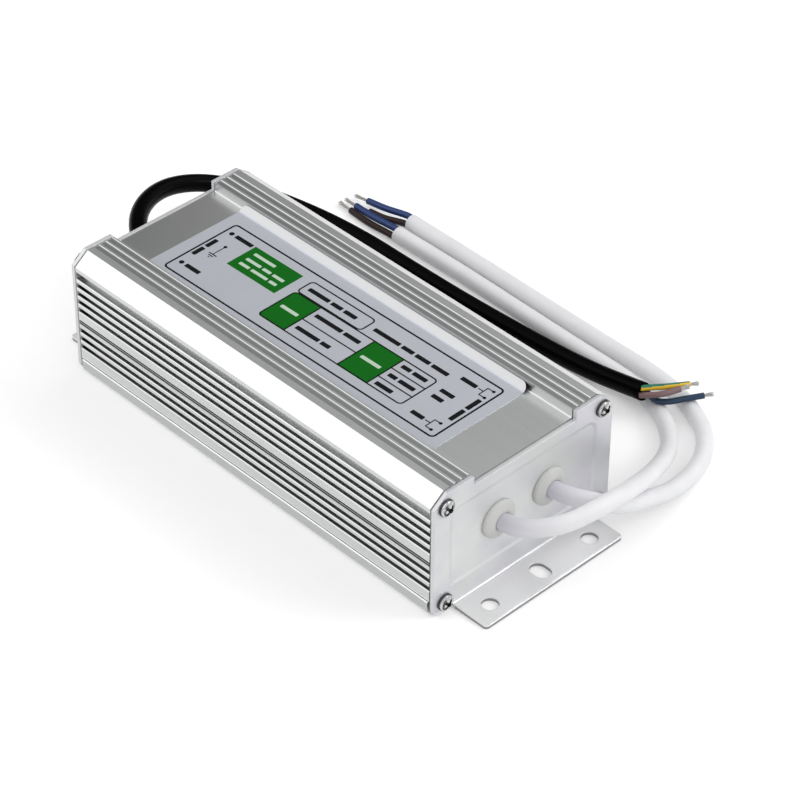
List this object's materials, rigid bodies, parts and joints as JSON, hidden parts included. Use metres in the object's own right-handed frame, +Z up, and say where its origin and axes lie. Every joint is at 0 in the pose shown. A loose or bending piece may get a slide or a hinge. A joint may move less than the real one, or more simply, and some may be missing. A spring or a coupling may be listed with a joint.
{
  "type": "led driver",
  "caption": "Sealed power supply for lighting: finned extruded aluminium case with a top channel, screwed end plates bent into mounting feet, and free leads with stripped ends.",
  "frame": {"origin": "middle of the case on the mounting plane, under the base tray", "axes": "+X along the case to the output end, +Y across the case to the side where the leads lie, +Z up"},
  "size_m": [0.2116, 0.1256, 0.043],
  "materials": {
    "case_aluminium": "satin anodised extrusion with fine draw lines",
    "tray_aluminium": "mill-finish extrusion",
    "plate_aluminium": "satin anodised pressed sheet",
    "screw_steel": "bright nickel plate",
    "washer_steel": "dull spring steel",
    "silicone": "matt silicone sheet",
    "grommet_white": "off-white soft moulding",
    "grommet_black": "black soft moulding",
    "label_vinyl": "silver-grey printed vinyl",
    "board": "glass epoxy board",
    "ferrite": "sintered ferrite",
    "winding": "taped copper winding",
    "choke": "coated ring core",
    "film": "moulded box",
    "ceramic": "ceramic tube",
    "moulded_black": "moulded epoxy",
    "capacitor_sleeve": "shrink sleeve",
    "potting": "cured potting compound",
    "cable_black": "smooth flexible jacket",
    "cable_white": "smooth flexible jacket",
    "core_earth": "green insulation with a yellow stripe",
    "core_brown": "brown insulation",
    "core_blue": "blue insulation",
    "tinned_copper": "tinned strands"
  },
  "bodies": {
    "root": {"housing": "case_aluminium", "base_tray": "tray_aluminium", "output_gasket": "silicone", "input_gasket": "silicone", "output_plate": "plate_aluminium", "input_plate": "plate_aluminium", "output_screws": "screw_steel", "output_washers": "washer_steel", "input_screws": "screw_steel", "input_washers": "washer_steel", "output_grommet_near": "grommet_white", "output_grommet_far": "grommet_white", "input_grommet": "grommet_black", "label_sheet": "label_vinyl", "circuit_board": "board", "transformer_core": "ferrite", "transformer_winding": "winding", "line_choke": "choke", "film_capacitor": "film", "fuse": "ceramic", "bridge_rectifier": "moulded_black", "bulk_capacitor": "capacitor_sleeve", "switch_transistor": "moulded_black", "output_rectifier": "moulded_black", "heat_spreader": "tray_aluminium", "output_inductor": "winding", "output_capacitors": "capacitor_sleeve", "input_wires": "core_blue", "output_wires": "core_blue", "potting": "potting", "input_cable": "cable_black", "input_core_earth": "core_earth", "input_core_brown": "core_brown", "input_core_blue": "core_blue", "input_tips": "tinned_copper", "output_cable_near": "cable_white", "near_core_brown": "core_brown", "near_core_blue": "core_blue", "near_tips": "tinned_copper", "output_cable_far": "cable_white", "far_core_brown": "core_brown", "far_core_blue": "core_blue", "far_tips": "tinned_copper"}
  },
  "joints": []
}
